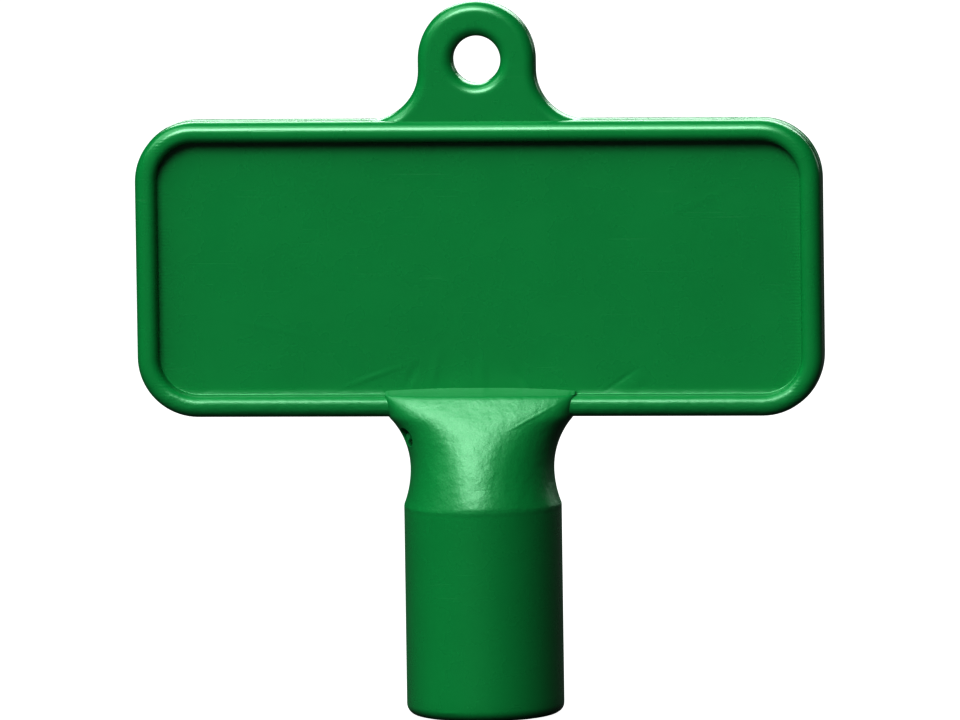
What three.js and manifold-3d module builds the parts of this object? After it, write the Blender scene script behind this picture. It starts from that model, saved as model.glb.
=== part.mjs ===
// A T-shaped radiator bleed key: one plastic moulding, which is a framed handle plate
// with a hanging tab, a neck and a round stem, and a hexagonal steel socket insert that
// is moulded into the stem's end.
// Millimetres. The origin is the centre of the stem's end face, +Z runs up the stem to
// the handle, X is the plate's width and the plate's front faces -Y.
import * as THREE from "three";
import { mergeVertices } from "three/addons/utils/BufferGeometryUtils.js";
import Module from "manifold-3d";

const wasm = await Module();
wasm.setup();

// Handle plate: a thin panel in a bead that stands out on both faces.
const PLATE_WIDTH = 70;
const PLATE_HEIGHT = 30.3;
const PLATE_CORNER = 6.2;
const PLATE_BASE_Z = 30.45;
const BEAD_DEPTH = 5;
const BEAD_ROUND = 1.1;
const BEAD_WIDTH = 1.8;
const WALL_FALL = 0.4;
const PANEL_THICKNESS = 1.7;

// Hanging tab on the plate's top edge.
const TAB_RADIUS = 6;
const TAB_RISE = 6.15;
const TAB_FLARE = 5;
const TAB_THICKNESS = 3.4;
const TAB_ROUND = 0.9;
const TAB_FOOT = 1.95;
const HOLE_RADIUS = 2.5;

// Neck: its front outline is a waist between two arcs, and its depth shrinks from the
// stem's to just more than the bead's.
const NECK_WAIST = 7.3;
const NECK_WAIST_Z = 25.1;
const NECK_UPPER_ARC = 7.85;
const NECK_LOWER_ARC = 10.1;
const NECK_SIDE_SLOPE = 0.15;
const NECK_BEND_Z = 27;
const NECK_BEND = 6.6;
const RIDGE_Z = 32.35;
const RIDGE_HALF_DEPTH = 3.5;
const RIDGE_FOOT_Z = 33;
const RIDGE_FOOT_HALF_DEPTH = 0.5;
const NECK_SQUARENESS = 4;

// Stem.
const STEM_RADIUS = 8;
const STEM_ROUND = 1.1;
const SHOULDER_Z = 21.4;

// Square socket for the bleed screw, the steel insert around its mouth, and the gap
// that the two solids keep.
const SOCKET_ACROSS = 5.2;
const SOCKET_DEPTH = 20;
const SOCKET_LEAD_IN = 0.5;
const INSERT_ACROSS = 9;
const INSERT_LENGTH = 12;
const INSERT_RECESS = 0.3;
const GROOVE_Z = 6;
const GROOVE_HEIGHT = 1.6;
const GROOVE_RADIUS = 4.3;
const GAP = 0.3;

const ROUND_STEPS = 3;
const ARC_STEPS = 10;
const NECK_SIDES = 64;
const NECK_ROWS = 22;
const PLATE_MIDDLE_Z = PLATE_BASE_Z + PLATE_HEIGHT / 2;
const PLATE_TOP_Z = PLATE_BASE_Z + PLATE_HEIGHT;

// Solids for joining and cutting.

function solidOf(geometry) {
  const bare = geometry.clone();
  bare.deleteAttribute("normal");
  bare.deleteAttribute("uv");
  const merged = mergeVertices(bare, 1e-4);
  const mesh = new wasm.Mesh({
    numProp: 3,
    vertProperties: new Float32Array(merged.attributes.position.array),
    triVerts: new Uint32Array(merged.index.array),
  });
  return new wasm.Manifold(mesh);
}

function geometryOf(solid) {
  const mesh = solid.getMesh();
  const geometry = new THREE.BufferGeometry();
  const positions = new THREE.BufferAttribute(mesh.vertProperties, 3);
  geometry.setAttribute("position", positions);
  geometry.setIndex(new THREE.BufferAttribute(mesh.triVerts, 1));
  geometry.computeVertexNormals();
  return geometry;
}

function namedMesh(name, solid, material) {
  const mesh = new THREE.Mesh(geometryOf(solid), material);
  mesh.name = name;
  return mesh;
}

// Extrudes an outline drawn in X and Z from half its depth in front to half behind.
function uprightSlab(shape, depth, round) {
  const geometry = new THREE.ExtrudeGeometry(shape, {
    depth: depth - 2 * round,
    curveSegments: ARC_STEPS,
    bevelEnabled: round > 0,
    bevelThickness: round,
    bevelSize: round,
    bevelOffset: -round,
    bevelSegments: ROUND_STEPS,
  });
  geometry.translate(0, 0, round - depth / 2);
  geometry.rotateX(Math.PI / 2);
  return geometry;
}

function roundedRectangle(width, height, corner, middleZ) {
  const x = width / 2 - corner;
  const low = middleZ - height / 2 + corner;
  const high = middleZ + height / 2 - corner;
  const quarter = Math.PI / 2;
  const shape = new THREE.Shape();
  shape.absarc(x, low, corner, -quarter, 0, false);
  shape.absarc(x, high, corner, 0, quarter, false);
  shape.absarc(-x, high, corner, quarter, 2 * quarter, false);
  shape.absarc(-x, low, corner, 2 * quarter, 3 * quarter, false);
  shape.closePath();
  return shape;
}

// Handle plate.

function plateBlank() {
  const shape = roundedRectangle(
    PLATE_WIDTH, PLATE_HEIGHT, PLATE_CORNER, PLATE_MIDDLE_Z,
  );
  return solidOf(uprightSlab(shape, BEAD_DEPTH, BEAD_ROUND));
}

// The hollow in front of the panel: it narrows by WALL_FALL from the bead's crest down
// to the panel's face. side is -1 at the front and 1 at the back.
function panelRecess(side) {
  const depth = (BEAD_DEPTH - PANEL_THICKNESS) / 2;
  const shape = roundedRectangle(
    PLATE_WIDTH - 2 * BEAD_WIDTH,
    PLATE_HEIGHT - 2 * BEAD_WIDTH,
    PLATE_CORNER - BEAD_WIDTH,
    PLATE_MIDDLE_Z,
  );
  const geometry = new THREE.ExtrudeGeometry(shape, {
    depth: depth,
    curveSegments: ARC_STEPS,
    bevelThickness: depth,
    bevelSize: WALL_FALL,
    bevelOffset: -WALL_FALL,
    bevelSegments: 1,
  });
  geometry.rotateX(Math.PI / 2);
  geometry.translate(0, BEAD_DEPTH / 2 + depth, 0);
  if (side < 0) geometry.rotateZ(Math.PI);
  return solidOf(geometry);
}

// Hanging tab: a round head on two concave flares that run out along the plate's top.
function hangingTab() {
  const centreZ = PLATE_TOP_Z + TAB_RISE;
  const flareZ = PLATE_TOP_Z + TAB_FLARE;
  const flareX = TAB_RADIUS + TAB_FLARE;
  const shape = new THREE.Shape();
  shape.moveTo(-flareX, PLATE_TOP_Z - TAB_FOOT);
  shape.lineTo(flareX, PLATE_TOP_Z - TAB_FOOT);
  shape.lineTo(flareX, PLATE_TOP_Z);
  shape.absarc(flareX, flareZ, TAB_FLARE, -Math.PI / 2, -Math.PI, true);
  shape.absarc(0, centreZ, TAB_RADIUS, 0, Math.PI, false);
  shape.absarc(-flareX, flareZ, TAB_FLARE, 0, -Math.PI / 2, true);
  shape.closePath();
  const hole = new THREE.Path();
  hole.absarc(0, centreZ, HOLE_RADIUS, 0, 2 * Math.PI, true);
  shape.holes.push(hole);
  return solidOf(uprightSlab(shape, TAB_THICKNESS, TAB_ROUND));
}

// Neck: half its width, half its depth and how square its section is, at a height.

function neckHalfWidth(z) {
  const away = Math.min(z, PLATE_BASE_Z) - NECK_WAIST_Z;
  const radius = away < 0 ? NECK_LOWER_ARC : NECK_UPPER_ARC;
  const flare = radius - Math.sqrt(radius * radius - away * away);
  if (away < 0) return Math.min(STEM_RADIUS, NECK_WAIST + flare);
  return NECK_WAIST + flare + NECK_SIDE_SLOPE * Math.max(0, z - PLATE_BASE_Z);
}

function neckHalfDepth(z) {
  if (z > RIDGE_Z) {
    const t = (z - RIDGE_Z) / (RIDGE_FOOT_Z - RIDGE_Z);
    return THREE.MathUtils.lerp(RIDGE_HALF_DEPTH, RIDGE_FOOT_HALF_DEPTH, t);
  }
  const side = new THREE.QuadraticBezierCurve(
    new THREE.Vector2(SHOULDER_Z, STEM_RADIUS),
    new THREE.Vector2(NECK_BEND_Z, NECK_BEND),
    new THREE.Vector2(RIDGE_Z, RIDGE_HALF_DEPTH),
  );
  return side.getPoint((z - SHOULDER_Z) / (RIDGE_Z - SHOULDER_Z)).y;
}

function neckSquareness(z) {
  const t = THREE.MathUtils.smoothstep(z, SHOULDER_Z, PLATE_BASE_Z);
  return THREE.MathUtils.lerp(2, NECK_SQUARENESS, t);
}

function neck() {
  const height = RIDGE_FOOT_Z - SHOULDER_Z;
  const geometry = new THREE.CylinderGeometry(1, 1, height, NECK_SIDES, NECK_ROWS);
  geometry.rotateX(Math.PI / 2);
  geometry.translate(0, 0, SHOULDER_Z + height / 2);
  const position = geometry.attributes.position;
  for (let i = 0; i < position.count; i++) {
    const x = position.getX(i);
    const y = position.getY(i);
    const z = position.getZ(i);
    const power = 2 / neckSquareness(z);
    const across = Math.sign(x) * Math.abs(x) ** power * neckHalfWidth(z);
    const deep = Math.sign(y) * Math.abs(y) ** power * neckHalfDepth(z);
    position.setXY(i, across, deep);
  }
  return solidOf(geometry);
}

// Stem: a round bar whose end edge is rounded.
function stem() {
  const points = [new THREE.Vector2(0, 0)];
  for (let i = 0; i <= ARC_STEPS / 2; i++) {
    const angle = (Math.PI / 2) * (i / (ARC_STEPS / 2));
    const r = STEM_RADIUS - STEM_ROUND * (1 - Math.sin(angle));
    points.push(new THREE.Vector2(r, STEM_ROUND * (1 - Math.cos(angle))));
  }
  points.push(new THREE.Vector2(STEM_RADIUS, SHOULDER_Z));
  points.push(new THREE.Vector2(0, SHOULDER_Z));
  const geometry = new THREE.LatheGeometry(points, NECK_SIDES);
  geometry.rotateX(Math.PI / 2);
  return solidOf(geometry);
}

// A hexagonal bar with two of its flats square to the Y axis.
function hexagonalBar(across, lowZ, highZ) {
  const corner = across / Math.sqrt(3);
  const geometry = new THREE.CylinderGeometry(corner, corner, highZ - lowZ, 6);
  geometry.rotateX(Math.PI / 2);
  geometry.rotateZ(Math.PI / 2);
  geometry.translate(0, 0, (lowZ + highZ) / 2);
  return solidOf(geometry);
}

function squareBar(across, lowZ, highZ) {
  const geometry = new THREE.BoxGeometry(across, across, highZ - lowZ);
  geometry.translate(0, 0, (lowZ + highZ) / 2);
  return solidOf(geometry);
}

// The bevel that leads a bleed screw's head into the socket.
function socketLeadIn() {
  const wide = (SOCKET_ACROSS / 2 + SOCKET_LEAD_IN) * Math.SQRT2;
  const narrow = (SOCKET_ACROSS / 2 - SOCKET_LEAD_IN) * Math.SQRT2;
  const height = 2 * SOCKET_LEAD_IN;
  const geometry = new THREE.CylinderGeometry(narrow, wide, height, 4);
  geometry.rotateY(Math.PI / 4);
  geometry.rotateX(Math.PI / 2);
  geometry.translate(0, 0, INSERT_RECESS + SOCKET_LEAD_IN);
  return solidOf(geometry);
}

// A ring around the insert that leaves only its grooved waist.
function insertGroove() {
  const low = GROOVE_Z - GROOVE_HEIGHT / 2;
  const high = GROOVE_Z + GROOVE_HEIGHT / 2;
  const section = [
    new THREE.Vector2(GROOVE_RADIUS, low),
    new THREE.Vector2(INSERT_ACROSS, low),
    new THREE.Vector2(INSERT_ACROSS, high),
    new THREE.Vector2(GROOVE_RADIUS, high),
    new THREE.Vector2(GROOVE_RADIUS, low),
  ];
  const geometry = new THREE.LatheGeometry(section, NECK_SIDES / 2);
  geometry.rotateX(Math.PI / 2);
  return solidOf(geometry);
}

function keyBody() {
  const insertTop = INSERT_RECESS + INSERT_LENGTH;
  const pocket = hexagonalBar(INSERT_ACROSS + 2 * GAP, -1, insertTop + GAP);
  return plateBlank()
    .subtract(panelRecess(-1))
    .subtract(panelRecess(1))
    .add(hangingTab())
    .add(neck())
    .add(stem())
    .subtract(pocket)
    .subtract(squareBar(SOCKET_ACROSS, insertTop, SOCKET_DEPTH));
}

function socketInsert() {
  return hexagonalBar(INSERT_ACROSS, INSERT_RECESS, INSERT_RECESS + INSERT_LENGTH)
    .subtract(insertGroove())
    .subtract(squareBar(SOCKET_ACROSS, -1, SOCKET_DEPTH))
    .subtract(socketLeadIn());
}

const greenPlastic = new THREE.MeshStandardMaterial({
  color: 0x16793c,
  roughness: 0.38,
  metalness: 0,
});
const socketSteel = new THREE.MeshStandardMaterial({
  color: 0xb4b6b8,
  roughness: 0.35,
  metalness: 1,
});

const key = new THREE.Group();
key.add(namedMesh("key_body", keyBody(), greenPlastic));
key.add(namedMesh("socket_insert", socketInsert(), socketSteel));

export default key;
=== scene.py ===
"""A T-shaped radiator bleed key: one green plastic moulding with a steel socket insert in its stem."""

import math

import bmesh
import bpy
from bmesh.types import BMEdge, BMVert
from mathutils import Matrix, Vector


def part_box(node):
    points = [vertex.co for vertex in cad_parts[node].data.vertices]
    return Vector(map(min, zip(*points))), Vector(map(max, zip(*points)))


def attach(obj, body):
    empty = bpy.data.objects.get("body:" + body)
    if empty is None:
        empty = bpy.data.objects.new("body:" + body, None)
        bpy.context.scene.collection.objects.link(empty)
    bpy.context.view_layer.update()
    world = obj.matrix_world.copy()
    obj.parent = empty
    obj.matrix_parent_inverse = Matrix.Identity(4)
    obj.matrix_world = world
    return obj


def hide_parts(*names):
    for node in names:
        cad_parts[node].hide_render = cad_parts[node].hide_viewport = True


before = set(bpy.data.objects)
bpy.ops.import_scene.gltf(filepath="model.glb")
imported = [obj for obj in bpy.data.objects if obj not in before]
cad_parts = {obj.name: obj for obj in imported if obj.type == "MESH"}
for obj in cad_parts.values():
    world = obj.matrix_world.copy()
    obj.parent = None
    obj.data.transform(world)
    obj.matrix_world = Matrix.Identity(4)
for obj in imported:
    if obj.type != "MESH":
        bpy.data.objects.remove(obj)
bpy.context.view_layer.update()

MM = 0.001

# The moulding's sizes, in millimetres, up from the stem's end face.
key_low, key_high = (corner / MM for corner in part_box("key_body"))
PLATE_WIDTH = key_high.x - key_low.x
PLATE_HEIGHT = 30.25
PLATE_CORNER = 6.2
PLATE_BASE_Z = 30.45
PLATE_TOP_Z = PLATE_BASE_Z + PLATE_HEIGHT
PLATE_MIDDLE_Z = PLATE_BASE_Z + PLATE_HEIGHT / 2
BEAD_HALF_DEPTH = 2.5
BEAD_ROUND = 1.1
BEAD_CREST = 0.25
BEAD_INNER_ROUND = 0.75
WALL_FALL = 0.06
FOOT_ROUND = 0.12
PANEL_HALF_THICKNESS = 0.85
PANEL_CELL = 0.5
PANEL_FADE = 0.6
PANEL_HOLLOW = 0.06
# Sinks in the panel's face: place across and up, half width, half height, depth.
PANEL_SINKS = (
    (0.0, 32.9, 7.5, 1.5, -0.10),
    (-4.2, 34.6, 1.6, 2.2, 0.035),
    (-0.6, 34.4, 1.3, 1.9, -0.022),
    (3.4, 34.8, 1.7, 2.0, 0.03),
    (-8.6, 34.2, 2.6, 1.4, 0.022),
    (9.5, 34.6, 2.2, 2.6, -0.02),
    (14.6, 34.4, 1.5, 1.3, 0.03),
    (-21.0, 41.0, 9.0, 6.0, 0.03),
    (19.0, 50.0, 11.0, 7.0, -0.03),
)

TAB_RADIUS = 6.0
TAB_DROP = 0.12
TAB_CENTRE_Z = key_high.z - TAB_RADIUS - TAB_DROP
TAB_FLARE = 5.0
TAB_HALF_THICKNESS = 1.7
TAB_ROUND = 1.08
TAB_FOOT = 2.45
TAB_TOE = 1.4
TAB_TOE_DROP = 0.12
HOLE_RADIUS = 2.41
TAB_CELL = 0.5

SEAM_HEIGHT = 0.035
SEAM_HALF_WIDTH = 0.12
SEAM_MOST_OF_SIDE = 0.8
SIDE_DRAFT = math.tan(math.radians(1.0))

STEM_RADIUS = (key_high.y - key_low.y) / 2
STEM_ROUND = 1.1
SHOULDER_Z = 21.4
SHOULDER_ROUND = 0.06
SHOULDER_SLIP = 0.22
SHOULDER_SLIP_X = -2.4
SHOULDER_SLIP_REACH = 3.0

NECK_WAIST = 7.3
NECK_WAIST_Z = 25.1
NECK_UPPER_ARC = 7.85
NECK_LOWER_ARC = 10.1
NECK_SIDE_SLOPE = 0.15
NECK_BEND_Z = 27.0
NECK_BEND = 6.6
RIDGE_Z = 32.75
RIDGE_HALF_DEPTH = 3.4
RIDGE_CROWN = 0.22
RIDGE_ROUND = 0.12
RIDGE_FOOT_Z = 33.15
RIDGE_FOOT_ARCH = 0.3
RIDGE_FOOT_SUNK = 0.3
NECK_SWELL = 1.0
NECK_SQUARENESS = 9.0
NECK_ROW = 0.3

GATE_PLACE = (-7.45, -2.5, 28.5)
GATE_RADIUS = 1.0
GATE_DEPTH = 0.8
GATE_PIP_RADIUS = 0.4
GATE_PIP_SUNK = 0.15
GATE_LEAN = 30.0
CHIP_PLACE = (6.9, -3.2, 0.0)
CHIP_SIZE = 0.7
CHIP_TILT = 35.0
CHIP_TWIST = -25.0
EJECTOR_RADIUS = 2.0
EJECTOR_DEPTH = 0.06
EJECTOR_X = 26.0
EJECTOR_Z = 8.0

insert_low, insert_high = (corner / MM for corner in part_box("socket_insert"))
INSERT_ACROSS = insert_high.y - insert_low.y
INSERT_FIT = 0.03
SOCKET_ACROSS = 5.2
SOCKET_DEPTH = 20.0
SOCKET_LEAD_IN = 0.5
INSERT_CHAMFER = 0.25
GROOVE_Z = 6.0
GROOVE_HEIGHT = 1.6
GROOVE_RADIUS = 4.3

# How many steps each rounded edge or arc takes, and how many sides a round shape has.
CORNER_STEPS = 20
EDGE_STEPS = 7
INNER_EDGE_STEPS = 5
FOOT_STEPS = 4
FLARE_STEPS = 32
HEAD_STEPS = 48
HOLE_STEPS = 64
STEM_EDGE_STEPS = 8
STEM_ROWS = 23
NECK_SIDES = 192
PIN_SIDES = 48
GROOVE_SIDES = 96

# Creases sharper than this stay crisp, in degrees.
MOULDED_CREASE = 32
MACHINED_CREASE = 25

# How near points are merged, how far the core runs into the pocket, and how far a
# cutter passes the face that it cuts.
MERGE = 0.001
OVERLAP = 0.01
CLEAR = 1.0


# Mesh helpers.

def piece_from(bm, name):
    """An object that holds the bmesh, with its faces pointing out."""
    bmesh.ops.recalc_face_normals(bm, faces=bm.faces)
    mesh = bpy.data.meshes.new(name)
    bm.to_mesh(mesh)
    bm.free()
    piece = bpy.data.objects.new(name, mesh)
    bpy.context.scene.collection.objects.link(piece)
    return piece


def joined(piece, tool, operation):
    """The piece with the tool joined to it or cut out of it; the tool is used up."""
    cut = piece.modifiers.new(operation, "BOOLEAN")
    cut.operation = operation
    cut.solver = "MANIFOLD"
    cut.object = tool
    bpy.context.view_layer.update()
    result = piece.evaluated_get(bpy.context.evaluated_depsgraph_get())
    mesh = bpy.data.meshes.new_from_object(result)
    piece.modifiers.clear()
    old = piece.data
    piece.data = mesh
    bpy.data.meshes.remove(old)
    bpy.data.objects.remove(tool)
    return piece


def quarter_turn(steps):
    """The angles of a quarter turn in radians, with 0 left out."""
    return [math.radians(90 * i / steps) for i in range(1, steps + 1)]


def step_in(bm, faces, path):
    """Insets the faces along a path of (distance in, distance out along the normal)."""
    before_in, before_out = 0.0, 0.0
    for inward, outward in path:
        bmesh.ops.inset_region(
            bm, faces=faces, thickness=inward - before_in, depth=outward - before_out,
            use_boundary=True, use_even_offset=True,
        )
        before_in, before_out = inward, outward


def of_kind(kind, found):
    return [g for g in found if isinstance(g, kind)]


def everything(bm):
    return list(bm.verts) + list(bm.edges) + list(bm.faces)


def divided(bm, face, cell):
    """Cuts a face into small cells, and gives back the new points off its edge."""
    inside = list(face.verts) + list(face.edges) + [face]
    edge = set(face.verts)
    for axis in (Vector((1, 0, 0)), Vector((0, 0, 1))):
        low = min(v.co @ axis for v in edge)
        high = max(v.co @ axis for v in edge)
        count = round((high - low) / cell)
        for i in range(1, count):
            cut = bmesh.ops.bisect_plane(
                bm, geom=inside, plane_co=axis * (low + (high - low) * i / count),
                plane_no=axis, dist=MERGE / 10,
            )
            inside = [g for g in cut["geom"] if g.is_valid]
    return set(of_kind(BMVert, inside)) - edge


def face_front(bm):
    """Turns every face to the front, which is -Y."""
    bm.normal_update()
    for face in bm.faces:
        if face.normal.y > 0:
            face.normal_flip()


def mirrored(bm, axis):
    """Joins the bmesh to its mirror image across the axis's zero plane."""
    bmesh.ops.mirror(bm, geom=everything(bm), axis=axis, merge_dist=MERGE)
    bmesh.ops.remove_doubles(bm, verts=bm.verts, dist=MERGE)


def bar_shape(sides, low_radius, high_radius, low_z, high_z, turn=0.0):
    """A bmesh of an upright bar, its corners at the given radii, turned about its axis."""
    bm = bmesh.new()
    bmesh.ops.create_cone(
        bm, cap_ends=True, segments=sides, radius1=low_radius, radius2=high_radius,
        depth=high_z - low_z,
    )
    bmesh.ops.rotate(bm, cent=(0, 0, 0), matrix=Matrix.Rotation(turn, 3, "Z"), verts=bm.verts)
    bmesh.ops.translate(bm, vec=(0, 0, (low_z + high_z) / 2), verts=bm.verts)
    return bm


def hexagonal_shape(across, low_z, high_z):
    """A bmesh of a bar with six flats, one to the front and one to the back."""
    corner = across / math.sqrt(3)
    return bar_shape(6, corner, corner, low_z, high_z, math.pi / 2)


def round_bar(radius, low_z, high_z, name, sides=PIN_SIDES):
    return piece_from(bar_shape(sides, radius, radius, low_z, high_z), name)


def square_bar(across, low_z, high_z, name):
    bm = bmesh.new()
    bmesh.ops.create_cube(bm, size=1)
    bmesh.ops.scale(bm, vec=(across, across, high_z - low_z), verts=bm.verts)
    bmesh.ops.translate(bm, vec=(0, 0, (low_z + high_z) / 2), verts=bm.verts)
    return piece_from(bm, name)


def finished(piece, name, crease):
    """Names a piece, smooths it between its creases and brings it from millimetres to metres."""
    piece.name = piece.data.name = name
    piece.data.shade_smooth()
    piece.data.set_sharp_from_angle(angle=math.radians(crease))
    flats = piece.modifiers.new("flat areas stay flat", "WEIGHTED_NORMAL")
    flats.keep_sharp = True
    flats.weight = 50
    piece.data.transform(Matrix.Scale(MM, 4))
    piece.data.update()
    return piece


# The moulding's outer edge, which the plate and the tab share.

def outer_edge(half_depth, radius):
    """In from the parting seam's tip, up the drafted side and round to the front."""
    side_in = SEAM_HEIGHT + (half_depth - radius) * SIDE_DRAFT
    path = [(SEAM_HEIGHT, SEAM_HALF_WIDTH), (side_in, half_depth - radius)]
    for angle in quarter_turn(EDGE_STEPS):
        path.append((
            side_in + radius * (1 - math.cos(angle)),
            half_depth - radius + radius * math.sin(angle),
        ))
    return path


# Handle plate.

def bead_path():
    """In from the seam, over the bead, down its inner wall and round onto the panel."""
    path = outer_edge(BEAD_HALF_DEPTH, BEAD_ROUND)
    inward, outward = path[-1]
    inward += BEAD_CREST
    path.append((inward, outward))
    for angle in quarter_turn(INNER_EDGE_STEPS):
        path.append((
            inward + BEAD_INNER_ROUND * math.sin(angle),
            outward - BEAD_INNER_ROUND * (1 - math.cos(angle)),
        ))
    foot_in = path[-1][0] + WALL_FALL
    foot_out = PANEL_HALF_THICKNESS + FOOT_ROUND
    path.append((foot_in, foot_out))
    for angle in quarter_turn(FOOT_STEPS):
        path.append((
            foot_in + FOOT_ROUND * (1 - math.cos(angle)),
            foot_out - FOOT_ROUND * math.sin(angle),
        ))
    return path


def panel_sunk(x, z):
    """How far the panel's face lies behind its flat place: cooling shrinkage and sinks."""
    u = x / (PLATE_WIDTH / 2)
    v = (z - PLATE_MIDDLE_Z) / (PLATE_HEIGHT / 2)
    drawn = PANEL_HOLLOW * (1 - u * u) * (1 - v * v)
    for sink_x, sink_z, wide, high, depth in PANEL_SINKS:
        across = (x - sink_x) / wide
        up = (z - sink_z) / high
        drawn += depth * math.exp(-across * across - up * up)
    return drawn


def sink_panel(points):
    """Moves the panel's points back by its sinks, which fade out at the foot of the bead."""
    half_x = max(v.co.x for v in points)
    low_z = min(v.co.z for v in points)
    high_z = max(v.co.z for v in points)
    for vert in points:
        from_side = half_x - abs(vert.co.x)
        from_end = min(vert.co.z - low_z, high_z - vert.co.z)
        fade = min(1, from_side / PANEL_FADE) * min(1, from_end / PANEL_FADE)
        vert.co.y += fade * panel_sunk(vert.co.x, vert.co.z)


def handle_plate():
    bm = bmesh.new()
    bmesh.ops.create_grid(bm, x_segments=1, y_segments=1, size=0.5)
    bmesh.ops.scale(bm, vec=(PLATE_WIDTH, PLATE_HEIGHT, 1), verts=bm.verts)
    bmesh.ops.bevel(
        bm, geom=list(bm.verts), offset=PLATE_CORNER, offset_type="OFFSET",
        segments=CORNER_STEPS, profile=0.5, affect="VERTICES", material=-1,
    )
    bmesh.ops.rotate(
        bm, cent=(0, 0, 0), matrix=Matrix.Rotation(math.pi / 2, 3, "X"), verts=bm.verts,
    )
    bmesh.ops.translate(bm, vec=(0, 0, PLATE_MIDDLE_Z), verts=bm.verts)
    panel = list(bm.faces)
    step_in(bm, panel, bead_path())
    sink_panel(divided(bm, panel[0], PANEL_CELL))
    mirrored(bm, "Y")
    return piece_from(bm, "handle_plate")


# Hanging tab.

def half_tab_outline(bm):
    """The left half of the tab's face: its foot, flare, round head and half of its hole."""
    flare_x = TAB_RADIUS + TAB_FLARE
    flare_z = PLATE_TOP_Z + TAB_FLARE
    foot_z = PLATE_TOP_Z - TAB_FOOT
    first = tip = bm.verts.new((0, 0, foot_z))
    stretches = (
        ("line", (-flare_x - TAB_TOE, 0, foot_z)),
        ("line", (-flare_x - TAB_TOE, 0, PLATE_TOP_Z - TAB_TOE_DROP)),
        ("line", (-flare_x, 0, PLATE_TOP_Z)),
        ("turn", (-flare_x, 0, flare_z), -90, FLARE_STEPS),
        ("line", (-TAB_RADIUS, 0, TAB_CENTRE_Z)),
        ("turn", (0, 0, TAB_CENTRE_Z), 90, HEAD_STEPS),
        ("line", (0, 0, TAB_CENTRE_Z + HOLE_RADIUS)),
        ("turn", (0, 0, TAB_CENTRE_Z), -180, HOLE_STEPS),
    )
    for stretch in stretches:
        if stretch[0] == "line":
            tip = bmesh.ops.extrude_vert_indiv(bm, verts=[tip])["verts"][0]
            tip.co = stretch[1]
        else:
            turned = bmesh.ops.spin(
                bm, geom=[tip], cent=stretch[1], axis=(0, 1, 0),
                angle=math.radians(stretch[2]), steps=stretch[3], use_duplicate=False,
            )
            tip = of_kind(BMVert, turned["geom_last"])[0]
    bm.edges.new((tip, first))


def hanging_tab():
    bm = bmesh.new()
    half_tab_outline(bm)
    bmesh.ops.contextual_create(bm, geom=list(bm.edges))
    face_front(bm)
    mirrored(bm, "X")
    face_front(bm)
    fronts = list(bm.faces)
    step_in(bm, fronts, outer_edge(TAB_HALF_THICKNESS, TAB_ROUND))
    for front in fronts:
        divided(bm, front, TAB_CELL)
    mirrored(bm, "Y")
    return piece_from(bm, "hanging_tab")


# Neck and stem.

def neck_half_width(z):
    away = min(z, PLATE_BASE_Z) - NECK_WAIST_Z
    radius = NECK_LOWER_ARC if away < 0 else NECK_UPPER_ARC
    width = NECK_WAIST + radius - math.sqrt(radius * radius - away * away)
    if away < 0:
        return min(STEM_RADIUS, width)
    return width + NECK_SIDE_SLOPE * max(0, z - PLATE_BASE_Z)


def neck_half_depth(z):
    """A curve that leaves the stem gently and runs in to the ridge at the bead."""
    a = SHOULDER_Z - 2 * NECK_BEND_Z + RIDGE_Z
    b = 2 * (NECK_BEND_Z - SHOULDER_Z)
    c = SHOULDER_Z - min(z, RIDGE_Z)
    t = (-b + math.sqrt(b * b - 4 * a * c)) / (2 * a)
    return (
        STEM_RADIUS * (1 - t) ** 2 + 2 * NECK_BEND * t * (1 - t) + RIDGE_HALF_DEPTH * t * t
    )


def neck_rise(z):
    """0 at the waist and below, 1 at the ridge and above."""
    return min(1, max(0, (z - NECK_WAIST_Z) / (RIDGE_Z - NECK_WAIST_Z)))


def neck_squareness(z):
    t = neck_rise(z)
    return 2 + NECK_SWELL * t ** 2 + (NECK_SQUARENESS - 2 - NECK_SWELL) * t ** 6


def neck_and_stem_rows():
    """Rows of (height, half width, half depth, squareness) from the stem's end up."""
    rows = [(0.0, STEM_RADIUS - STEM_ROUND, STEM_RADIUS - STEM_ROUND, 2)]
    for angle in quarter_turn(STEM_EDGE_STEPS):
        r = STEM_RADIUS - STEM_ROUND * (1 - math.sin(angle))
        rows.append((STEM_ROUND * (1 - math.cos(angle)), r, r, 2))
    for i in range(1, STEM_ROWS + 1):
        z = STEM_ROUND + (SHOULDER_Z - SHOULDER_ROUND - STEM_ROUND) * i / STEM_ROWS
        rows.append((z, STEM_RADIUS, STEM_RADIUS, 2))
    span = RIDGE_Z - RIDGE_ROUND - SHOULDER_Z
    count = round(span / NECK_ROW)
    for i in range(count + 1):
        z = SHOULDER_Z + (span * i / count if i else SHOULDER_ROUND)
        rows.append((z, neck_half_width(z), neck_half_depth(z), neck_squareness(z)))
    top_width = neck_half_width(RIDGE_Z)
    foot_depth = PANEL_HALF_THICKNESS - RIDGE_FOOT_SUNK
    rows.append((RIDGE_Z, top_width, RIDGE_HALF_DEPTH - RIDGE_ROUND, NECK_SQUARENESS))
    rows.append((RIDGE_FOOT_Z, top_width, foot_depth, NECK_SQUARENESS))
    return rows


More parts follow.
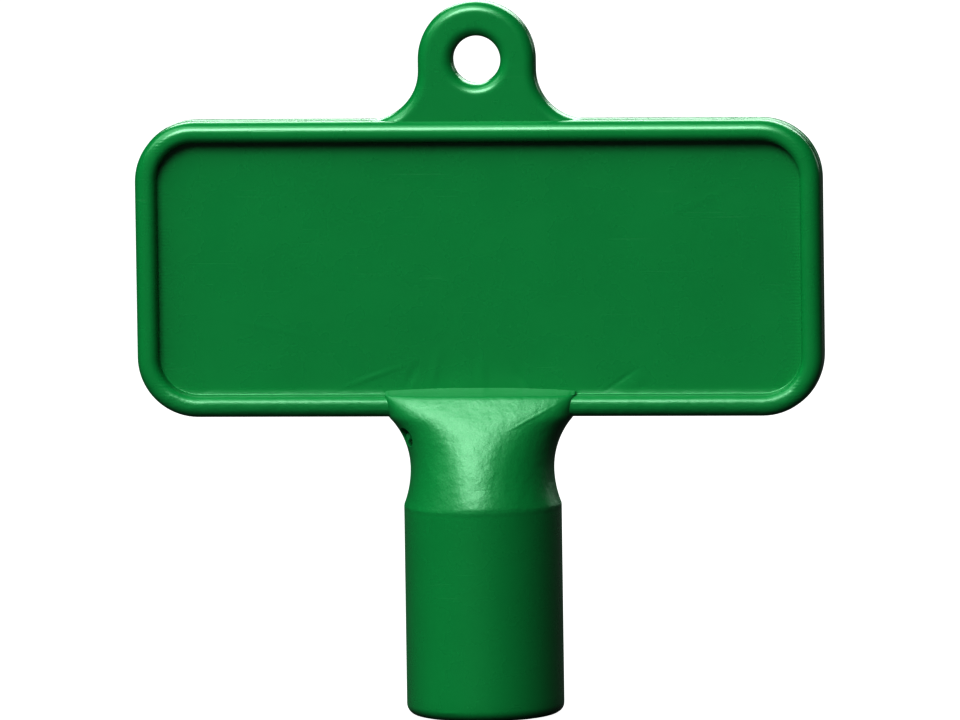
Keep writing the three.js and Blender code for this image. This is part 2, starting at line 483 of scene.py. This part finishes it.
def shape_row(verts, z, half_width, half_depth, squareness):
    """Puts a ring of points on a row's outline, with the parting seam on both sides."""
    count = len(verts)
    half = count // 2
    step = 2 * math.pi / count
    rise = neck_rise(z)
    for i, vert in enumerate(verts):
        turn = step * i
        swell = SEAM_HEIGHT if i % half == 0 else 0.0
        if i % half in (1, half - 1):
            beside = min(SEAM_HALF_WIDTH / half_depth, SEAM_MOST_OF_SIDE * step)
            turn = math.pi * round(i / half) + (beside if i % half == 1 else -beside)
        c, s = math.cos(turn), math.sin(turn)
        reach = (abs(c) ** squareness + abs(s) ** squareness) ** (-1 / squareness)
        x = c * reach * half_width
        crowned = 1 - RIDGE_CROWN * rise ** 4 * (x / half_width) ** 2
        slip = SHOULDER_SLIP * math.tanh(x - SHOULDER_SLIP_X) * max(0, -s)
        near = max(0, 1 - abs(z - SHOULDER_Z) / SHOULDER_SLIP_REACH)
        arch = RIDGE_FOOT_ARCH * (1 - (x / half_width) ** 2) if z == RIDGE_FOOT_Z else 0
        vert.co = (
            x + math.copysign(swell, c), s * reach * half_depth * crowned,
            z + slip * near * near * (3 - 2 * near) + arch,
        )


def neck_and_stem():
    bm = bmesh.new()
    ring = bmesh.ops.create_circle(bm, segments=NECK_SIDES, radius=STEM_RADIUS)["verts"]
    rows = neck_and_stem_rows()
    shape_row(ring, *rows[0])
    bmesh.ops.contextual_create(bm, geom=ring)
    edges = list(bm.edges)
    for row in rows[1:]:
        raised = bmesh.ops.extrude_edge_only(bm, edges=edges)["geom"]
        ring = of_kind(BMVert, raised)
        in_ring = set(ring)
        edges = [e for e in of_kind(BMEdge, raised) if in_ring.issuperset(e.verts)]
        shape_row(ring, *row)
    bmesh.ops.contextual_create(bm, geom=ring)
    return piece_from(bm, "neck_and_stem")


def gate_scar(body):
    """The recess on the neck's flank where the runner was nipped off, with its pip."""
    lean = math.radians(GATE_LEAN)
    turn = Vector((-math.cos(lean), -math.sin(lean), 0)).to_track_quat("Z", "Y").to_matrix().to_4x4()
    recess = round_bar(GATE_RADIUS, -GATE_DEPTH, 2 * CLEAR, "recess")
    pip = round_bar(GATE_PIP_RADIUS, -GATE_DEPTH - CLEAR, -GATE_PIP_SUNK, "pip")
    joined(recess, pip, "DIFFERENCE")
    recess.data.transform(Matrix.Translation(GATE_PLACE) @ turn)
    joined(body, recess, "DIFFERENCE")


def end_chip(body):
    """The small chip out of the rim of the stem's end."""
    chip = square_bar(CHIP_SIZE, -CHIP_SIZE / 2, CHIP_SIZE / 2, "chip")
    tilt = Matrix.Rotation(math.radians(CHIP_TILT), 4, "Y")
    twist = Matrix.Rotation(math.radians(CHIP_TWIST), 4, "Z")
    chip.data.transform(Matrix.Translation(CHIP_PLACE) @ tilt @ twist)
    joined(body, chip, "DIFFERENCE")


def ejector_marks(body):
    """Shallow discs on the back where the ejector pins pushed."""
    for side in (-1, 1):
        for end in (-1, 1):
            pin = round_bar(EJECTOR_RADIUS, -2 * CLEAR, EJECTOR_DEPTH, "pin")
            stand = Matrix.Rotation(math.pi / 2, 4, "X")
            place = (side * EJECTOR_X, PANEL_HALF_THICKNESS, PLATE_MIDDLE_Z + end * EJECTOR_Z)
            pin.data.transform(Matrix.Translation(place) @ stand)
            joined(body, pin, "DIFFERENCE")


def key_body():
    body = handle_plate()
    joined(body, hanging_tab(), "UNION")
    joined(body, neck_and_stem(), "UNION")
    pocket_top = insert_high.z + INSERT_FIT
    pocket = hexagonal_shape(INSERT_ACROSS + 2 * INSERT_FIT, -CLEAR, pocket_top)
    joined(body, piece_from(pocket, "pocket"), "DIFFERENCE")
    core = square_bar(SOCKET_ACROSS, pocket_top - OVERLAP, SOCKET_DEPTH, "core")
    joined(body, core, "DIFFERENCE")
    gate_scar(body)
    end_chip(body)
    ejector_marks(body)
    return finished(body, "moulded_key_body", MOULDED_CREASE)


# Steel insert.

def groove_cutter():
    """A ring around the insert, which leaves the retaining groove's floor."""
    low, high = GROOVE_Z - GROOVE_HEIGHT / 2, GROOVE_Z + GROOVE_HEIGHT / 2
    ring = round_bar(INSERT_ACROSS, low, high, "groove", GROOVE_SIDES)
    floor = round_bar(GROOVE_RADIUS, low - CLEAR, high + CLEAR, "groove_floor", GROOVE_SIDES)
    return joined(ring, floor, "DIFFERENCE")


def lead_in_cutter():
    """A four-sided taper that opens the socket's mouth."""
    wide = (SOCKET_ACROSS / 2 + SOCKET_LEAD_IN) * math.sqrt(2)
    narrow = (SOCKET_ACROSS / 2 - SOCKET_LEAD_IN) * math.sqrt(2)
    high_z = insert_low.z + 2 * SOCKET_LEAD_IN
    return piece_from(bar_shape(4, wide, narrow, insert_low.z, high_z, math.pi / 4), "lead_in")


def steel_insert():
    bm = hexagonal_shape(INSERT_ACROSS, insert_low.z, insert_high.z)
    rims = [e for e in bm.edges if abs(e.verts[0].co.z - e.verts[1].co.z) < MERGE]
    bmesh.ops.bevel(
        bm, geom=rims, offset=INSERT_CHAMFER, offset_type="OFFSET", segments=2, profile=0.5,
        affect="EDGES", material=-1,
    )
    insert = piece_from(bm, "insert")
    joined(insert, square_bar(SOCKET_ACROSS, -CLEAR, SOCKET_DEPTH, "broach"), "DIFFERENCE")
    joined(insert, lead_in_cutter(), "DIFFERENCE")
    joined(insert, groove_cutter(), "DIFFERENCE")
    return finished(insert, "steel_socket_insert", MACHINED_CREASE)


# Materials, whose lengths are in metres.

GREEN_DEEP = (0.0042, 0.194, 0.056, 1)
GREEN_CLEAR = (0.0056, 0.220, 0.065, 1)
GREEN_RUBBED = (0.10, 0.34, 0.16, 1)
GREEN_GLEAM = (0.8, 1.0, 0.86, 1)
POLISHED, UNPOLISHED = 0.25, 0.30
NECK_DULLING = 0.12
SCUFF_DULLING = 0.12
SCUFF_HEIGHT = -0.000003
NECK_GRAIN_HEIGHT = 0.00007
SKIN_HEIGHT = 0.00003
CUTTER_HEIGHT = 0.000006
PANEL_END = 0.0324

STEEL_CLOUDED = (0.42, 0.43, 0.45, 1)
STEEL_CLEAR = (0.56, 0.57, 0.58, 1)
STEEL_RUBBED = (0.72, 0.72, 0.72, 1)
TURNED_PITCH = 0.00022
TURNED_HEIGHT = 0.000003
STREAK_HEIGHT = 0.000012


def new_material(name):
    material = bpy.data.materials.new(name)
    material.use_nodes = True
    nodes = material.node_tree.nodes
    nodes.clear()
    output = nodes.new("ShaderNodeOutputMaterial")
    shader = nodes.new("ShaderNodeBsdfPrincipled")
    material.node_tree.links.new(shader.outputs["BSDF"], output.inputs["Surface"])
    return material, shader


def socket_key(name):
    """i0 means the first socket; any other name is the socket's own, with _ for a space."""
    if name[0] == "i" and name[1:].isdigit():
        return int(name[1:])
    return name.replace("_", " ")


class Net:
    """Adds nodes to a node tree and links them."""

    def __init__(self, tree):
        self.nodes, self.links = tree.nodes, tree.links

    def feed(self, socket, value):
        """Links another node's output to the socket, or sets the socket to a plain value."""
        if isinstance(value, bpy.types.NodeSocket):
            self.links.new(value, socket)
        else:
            socket.default_value = value

    def add(self, kind, settings=None, **values):
        """A node with its settings, and its sockets' values as socket_key() names them."""
        node = self.nodes.new("ShaderNode" + kind)
        for name, setting in (settings or {}).items():
            setattr(node, name, setting)
        for name, value in values.items():
            self.feed(node.inputs[socket_key(name)], value)
        return node

    def group(self, group, **values):
        return self.add("Group", {"node_tree": group}, **values).outputs[0]

    def maths(self, operation, first, second=0.0, third=0.0):
        node = self.add("Math", {"operation": operation}, i0=first, i1=second, i2=third)
        return node.outputs[0]

    def span(self, value, low, high, to_low=0.0, to_high=1.0):
        """The value's span from low to high, smoothly moved to another span."""
        node = self.add(
            "MapRange", {"interpolation_type": "SMOOTHSTEP"}, Value=value, From_Min=low,
            From_Max=high, To_Min=to_low, To_Max=to_high,
        )
        return node.outputs["Result"]

    def blend(self, mask, low, high):
        """A colour between two others, by a mask."""
        node = self.add("Mix", {"data_type": "RGBA"})
        self.feed(next(i for i in node.inputs if i.type == "VALUE"), mask)
        colours = [i for i in node.inputs if i.type == "RGBA"]
        self.feed(colours[0], low)
        self.feed(colours[1], high)
        return next(o for o in node.outputs if o.type == "RGBA")


def new_group(name, result, inputs):
    """A shader group with one named result, and inputs as (kind, name, default value)."""
    group = bpy.data.node_groups.new(name, "ShaderNodeTree")
    for kind, label, value in inputs:
        socket = group.interface.new_socket(
            name=label, in_out="INPUT", socket_type="NodeSocket" + kind,
        )
        if value is not None:
            socket.default_value = value
    group.interface.new_socket(name=result, in_out="OUTPUT", socket_type="NodeSocketFloat")
    given = group.nodes.new("NodeGroupInput")
    out = group.nodes.new("NodeGroupOutput")
    return group, Net(group), given.outputs, out.inputs[result]


def soft_mottle():
    """Slow, uneven patches, as in the gloss or colour of a moulded or plated skin."""
    group, net, given, mask = new_group(
        "soft mottle", "Mask",
        (("Vector", "Vector", None), ("Float", "Patch Size", 0.01), ("Float", "Contrast", 1.0)),
    )
    scale = net.maths("DIVIDE", 1.0, given["Patch Size"])
    patches = net.add(
        "TexNoise", Vector=given["Vector"], Scale=scale, Detail=3.0, Roughness=0.55,
    )
    centred = net.maths("SUBTRACT", patches.outputs["Fac"], 0.5)
    lifted = net.maths("MULTIPLY", centred, given["Contrast"])
    moved = net.add("Math", {"operation": "ADD", "use_clamp": True}, i0=lifted, i1=0.5)
    net.feed(mask, moved.outputs[0])
    return group


def fine_scuffs():
    """Sparse hair-thin scratches along X that fade in and out."""
    group, net, given, mask = new_group(
        "fine scuffs", "Mask",
        (("Vector", "Vector", None), ("Float", "Length", 0.012), ("Float", "Amount", 0.5)),
    )
    hair, run_in = 0.00022, 0.004
    parts = net.add("SeparateXYZ", Vector=given["Vector"])
    along = net.maths("DIVIDE", parts.outputs["X"], given["Length"])
    across = net.maths("DIVIDE", parts.outputs["Z"], hair)
    depth = net.maths("DIVIDE", parts.outputs["Y"], run_in)
    stretched = net.add("CombineXYZ", X=along, Y=depth, Z=across)
    lines = net.add(
        "TexNoise", Vector=stretched.outputs[0], Scale=1.0, Detail=1.0, Roughness=0.4,
        Distortion=0.15,
    )
    where = net.add("TexNoise", Vector=given["Vector"], Scale=140.0, Detail=2.0)
    thin = net.span(lines.outputs["Fac"], 0.66, 0.74)
    patch = net.span(where.outputs["Fac"], 0.5, 0.68)
    both = net.maths("MULTIPLY", thin, patch)
    net.feed(mask, net.maths("MULTIPLY", both, given["Amount"]))
    return group


def mould_mark():
    """One soft-ended mark: full at its place, gone at its half size away, turned about Y."""
    group, net, given, mask = new_group(
        "mould mark", "Mask",
        (
            ("Vector", "Vector", None), ("Vector", "Place", (0, 0, 0)),
            ("Float", "Turn", 0.0), ("Vector", "Half Size", (0.001, 1.0, 0.001)),
        ),
    )
    offset = net.add(
        "VectorMath", {"operation": "SUBTRACT"}, i0=given["Vector"], i1=given["Place"],
    )
    turned = net.add(
        "VectorRotate", {"rotation_type": "Y_AXIS"}, Vector=offset.outputs[0],
        Angle=given["Turn"],
    )
    shrunk = net.add(
        "VectorMath", {"operation": "DIVIDE"}, i0=turned.outputs[0], i1=given["Half Size"],
    )
    away = net.add("VectorMath", {"operation": "LENGTH"}, i0=shrunk.outputs[0])
    net.feed(mask, net.span(away.outputs["Value"], 1.0, 0.0))
    return group


def cutter_marks():
    """Even fine ridges up the surface, left in the mould by the cutter."""
    group, net, given, height = new_group(
        "cutter marks", "Height",
        (("Vector", "Vector", None), ("Float", "Pitch", 0.0003)),
    )
    sway = 0.0006
    parts = net.add("SeparateXYZ", Vector=given["Vector"])
    waver = net.add("TexNoise", Vector=given["Vector"], Scale=90.0, Detail=1.0)
    moved = net.maths("MULTIPLY_ADD", waver.outputs["Fac"], sway, parts.outputs["Z"])
    turns = net.maths("DIVIDE", moved, given["Pitch"])
    wave = net.maths("SINE", net.maths("MULTIPLY", turns, 2 * math.pi))
    net.feed(height, net.maths("MULTIPLY_ADD", wave, 0.5, 0.5))
    return group


MOTTLE = soft_mottle()
SCUFFS = fine_scuffs()
MARK = mould_mark()
CUTTER = cutter_marks()

# Marks in the moulding: place, turn in degrees, half size, height in metres.
MOULD_MARKS = (
    ((0.0143, -0.001, 0.0341), 34, (0.0030, 0.002, 0.0004), -0.00003),
    ((0.0155, -0.001, 0.0338), 36, (0.0022, 0.002, 0.0011), 0.00004),
    ((-0.0046, -0.001, 0.0352), 80, (0.0028, 0.002, 0.0008), 0.00004),
    ((-0.0070, -0.001, 0.0346), 62, (0.0022, 0.002, 0.0007), -0.00004),
    ((0.0002, -0.001, 0.0350), 95, (0.0026, 0.002, 0.0009), 0.00005),
    ((0.0040, -0.001, 0.0344), 118, (0.0020, 0.002, 0.0006), -0.00004),
    ((-0.0110, -0.001, 0.0345), 20, (0.0050, 0.002, 0.0005), 0.00003),
    ((0.0061, -0.0050, 0.0309), 28, (0.0044, 0.004, 0.0003), 0.00003),
    ((-0.0040, -0.0062, 0.0275), 66, (0.0034, 0.004, 0.0003), -0.00002),
    ((0.0006, -0.0074, 0.0236), 2, (0.0026, 0.003, 0.00016), -0.000006),
    ((-0.0018, -0.0074, 0.0241), -4, (0.0014, 0.003, 0.00012), -0.000005),
    ((-0.0030, -0.0076, 0.0009), 3, (0.0018, 0.003, 0.0003), 0.00002),
    ((-0.0215, -0.001, 0.0395), -12, (0.0060, 0.002, 0.0005), 0.00001),
    ((0.0220, -0.001, 0.0520), 24, (0.0080, 0.002, 0.0006), 0.00001),
)


def green_abs():
    """Satin-gloss ABS: even colour, uneven polish, flow marks and light handling scuffs."""
    material, shader = new_material("green ABS")
    net = Net(material.node_tree)
    shader.inputs["IOR"].default_value = 1.5
    shader.inputs["Specular IOR Level"].default_value = 0.64
    shader.inputs["Specular Tint"].default_value = GREEN_GLEAM
    at = net.add("TexCoord").outputs["Object"]
    parts = net.add("SeparateXYZ", Vector=at)

    cloudy = net.group(MOTTLE, Vector=at, Patch_Size=0.014, Contrast=1.6)
    speckled = net.group(MOTTLE, Vector=at, Patch_Size=0.0009, Contrast=1.0)
    tone = net.maths("MULTIPLY_ADD", speckled, 0.25, net.maths("MULTIPLY", cloudy, 0.75))
    scuffs = net.group(SCUFFS, Vector=at, Length=0.012, Amount=0.7)
    colour = net.blend(tone, GREEN_DEEP, GREEN_CLEAR)
    worn = net.blend(net.maths("MULTIPLY", scuffs, 0.12), colour, GREEN_RUBBED)
    net.feed(shader.inputs["Base Color"], worn)

    # The neck, between the shoulder and the ridge, is duller than the rest.
    low = net.span(parts.outputs["Z"], (SHOULDER_Z - 0.6) * MM, SHOULDER_Z * MM)
    high = net.span(parts.outputs["Z"], (RIDGE_Z + 0.75) * MM, (RIDGE_Z - 0.25) * MM)
    on_neck = net.maths("MULTIPLY", low, high)
    polish = net.group(MOTTLE, Vector=at, Patch_Size=0.004, Contrast=1.4)
    gloss = net.span(polish, 0.1, 0.9, POLISHED, UNPOLISHED)
    duller = net.maths("MULTIPLY_ADD", on_neck, NECK_DULLING, gloss)
    net.feed(
        shader.inputs["Roughness"], net.maths("MULTIPLY_ADD", scuffs, SCUFF_DULLING, duller),
    )

    height = net.maths("MULTIPLY", scuffs, SCUFF_HEIGHT)
    for place, turn, half_size, rise in MOULD_MARKS:
        mark = net.group(
            MARK, Vector=at, Place=place, Turn=math.radians(turn), Half_Size=half_size,
        )
        height = net.maths("MULTIPLY_ADD", mark, rise, height)

    # The neck's skin is rougher than the plate's, and the whole moulding waves a little.
    grain = net.group(MOTTLE, Vector=at, Patch_Size=0.0011, Contrast=1.0)
    neck_grain = net.maths("MULTIPLY", grain, on_neck)
    height = net.maths("MULTIPLY_ADD", neck_grain, NECK_GRAIN_HEIGHT, height)
    skin = net.group(MOTTLE, Vector=at, Patch_Size=0.0045, Contrast=1.0)
    height = net.maths("MULTIPLY_ADD", skin, SKIN_HEIGHT, height)

    # Cutter marks show along the panel's ends.
    out_x = net.maths("ABSOLUTE", parts.outputs["X"])
    near_end = net.maths(
        "MULTIPLY", net.span(out_x, PANEL_END - 0.0016, PANEL_END),
        net.span(out_x, PANEL_END + 0.0007, PANEL_END + 0.0002),
    )
    ridges = net.group(CUTTER, Vector=at, Pitch=0.00034)
    end_ridges = net.maths("MULTIPLY", ridges, near_end)
    height = net.maths("MULTIPLY_ADD", end_ridges, CUTTER_HEIGHT, height)

    relief = net.add("Bump", Strength=1.0, Distance=1.0, Height=height)
    net.feed(shader.inputs["Normal"], relief.outputs["Normal"])
    return material


def socket_steel():
    """Zinc-plated free-cutting steel: turned end, broached bore, cloudy plating."""
    material, shader = new_material("zinc plated steel")
    net = Net(material.node_tree)
    shader.inputs["Metallic"].default_value = 1
    at = net.add("TexCoord").outputs["Object"]
    parts = net.add("SeparateXYZ", Vector=at)

    cloudy = net.group(MOTTLE, Vector=at, Patch_Size=0.0025, Contrast=1.8)
    plated = net.blend(cloudy, STEEL_CLOUDED, STEEL_CLEAR)
    scuffs = net.group(SCUFFS, Vector=at, Length=0.004, Amount=1.0)
    bright = net.blend(net.maths("MULTIPLY", scuffs, 0.5), plated, STEEL_RUBBED)
    net.feed(shader.inputs["Base Color"], bright)

    spangle = net.group(MOTTLE, Vector=at, Patch_Size=0.0008, Contrast=1.5)
    net.feed(shader.inputs["Roughness"], net.span(spangle, 0.0, 1.0, 0.28, 0.44))

    # Turned rings on the end face, and streaks along the flats and the bore.
    flat = net.add("CombineXYZ", X=parts.outputs["X"], Y=parts.outputs["Y"], Z=0.0)
    radius = net.add("VectorMath", {"operation": "LENGTH"}, i0=flat.outputs[0])
    turns = net.maths("MULTIPLY", radius.outputs["Value"], 2 * math.pi / TURNED_PITCH)
    end_z = insert_low.z * MM
    on_end = net.span(parts.outputs["Z"], end_z + 0.00012, end_z + 0.00002)
    rings = net.maths("MULTIPLY", net.maths("SINE", turns), on_end)
    streaks = net.add("TexNoise", Vector=flat.outputs[0], Scale=4200.0, Detail=2.0)
    height = net.maths("MULTIPLY", rings, TURNED_HEIGHT)
    height = net.maths("MULTIPLY_ADD", streaks.outputs["Fac"], STREAK_HEIGHT, height)
    relief = net.add("Bump", Strength=1.0, Distance=1.0, Height=height)
    net.feed(shader.inputs["Normal"], relief.outputs["Normal"])
    return material


# The two pieces on the key's one body.

body = key_body()
body.data.materials.clear()
body.data.materials.append(green_abs())
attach(body, "root")
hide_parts("key_body")

insert = steel_insert()
insert.data.materials.clear()
insert.data.materials.append(socket_steel())
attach(insert, "root")
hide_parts("socket_insert")


# Floor, lights and camera, in metres, watts and degrees.

FLOOR_HALF_SIZE = 6
FLOOR_COLOUR = (0.02, 0.02, 0.02, 1)
FLOOR_GLOW = 0.98
WHITE = (1, 1, 1, 1)
WORLD_SHINE = 0.005
WORLD_SEEN = 1.0

LIGHTS_AIM = Vector((0, 0, 0.045))
# Name, width and height, power, azimuth, elevation, distance.
SOFTBOXES = (
    ("front softbox", (0.75, 0.6), 21, -15, 35, 1.35),
    ("wide scrim", (2.0, 1.1), 29, -36, 50, 1.35),
    ("back softbox", (1.2, 0.9), 19, 178, 36, 1.3),
    ("rim strip", (0.7, 0.3), 1.3, 140, 9, 1.35),
)

CAMERA_AIM = Vector((-0.0001, 0, 0.0361))
CAMERA_AZIMUTH = 6.0
CAMERA_ELEVATION = 6.2
CAMERA_ROLL = 0.8
CAMERA_DISTANCE = 1.6
FIELD_WIDTH = 0.0975
VIEW_GAMMA = 0.66


def direction(azimuth, elevation):
    """Away from the key: azimuth 0 is its front, and 90 its right."""
    a, e = math.radians(azimuth), math.radians(elevation)
    return Vector((math.sin(a) * math.cos(e), -math.cos(a) * math.cos(e), math.sin(e)))


def pale_floor():
    """A floor that glows white to the camera alone, so it throws little light up."""
    bm = bmesh.new()
    bmesh.ops.create_grid(bm, x_segments=1, y_segments=1, size=FLOOR_HALF_SIZE)
    floor = piece_from(bm, "floor")
    material, shader = new_material("pale floor")
    net = Net(material.node_tree)
    shader.inputs["Base Color"].default_value = FLOOR_COLOUR
    shader.inputs["Roughness"].default_value = 0.9
    shader.inputs["Emission Color"].default_value = WHITE
    seen = net.add("LightPath").outputs["Is Camera Ray"]
    net.feed(shader.inputs["Emission Strength"], net.maths("MULTIPLY", seen, FLOOR_GLOW))
    floor.data.materials.append(material)


def softbox(name, size, power, azimuth, elevation, distance):
    light = bpy.data.lights.new(name, "AREA")
    light.shape = "RECTANGLE"
    light.size, light.size_y = size
    light.energy = power
    lamp = bpy.data.objects.new(name, light)
    bpy.context.scene.collection.objects.link(lamp)
    away = direction(azimuth, elevation)
    lamp.location = LIGHTS_AIM + away * distance
    lamp.rotation_euler = away.to_track_quat("Z", "Y").to_euler()


def camera():
    view = bpy.data.cameras.new("camera")
    view.lens = view.sensor_width * CAMERA_DISTANCE / FIELD_WIDTH
    view.clip_start, view.clip_end = 0.01, 30
    shot = bpy.data.objects.new("camera", view)
    bpy.context.scene.collection.objects.link(shot)
    away = direction(CAMERA_AZIMUTH, CAMERA_ELEVATION)
    roll = Matrix.Rotation(-math.radians(CAMERA_ROLL), 3, "Z")
    shot.location = CAMERA_AIM + away * CAMERA_DISTANCE
    shot.rotation_euler = (away.to_track_quat("Z", "Y").to_matrix() @ roll).to_euler()
    bpy.context.scene.camera = shot


def studio_world():
    """White where the camera sees it, and nearly dark where it would light the key."""
    world = bpy.data.worlds.new("studio")
    bpy.context.scene.world = world
    world.use_nodes = True
    world.node_tree.nodes.clear()
    net = Net(world.node_tree)
    seen = net.add("LightPath").outputs["Is Camera Ray"]
    shine = net.add("Background", Color=WHITE, Strength=WORLD_SHINE).outputs[0]
    white = net.add("Background", Color=WHITE, Strength=WORLD_SEEN).outputs[0]
    both = net.add("MixShader", i0=seen, i1=shine, i2=white).outputs[0]
    net.add("OutputWorld", Surface=both)


pale_floor()
studio_world()
for row in SOFTBOXES:
    softbox(*row)
camera()
bpy.context.scene.view_settings.view_transform = "Standard"
bpy.context.scene.view_settings.gamma = VIEW_GAMMA
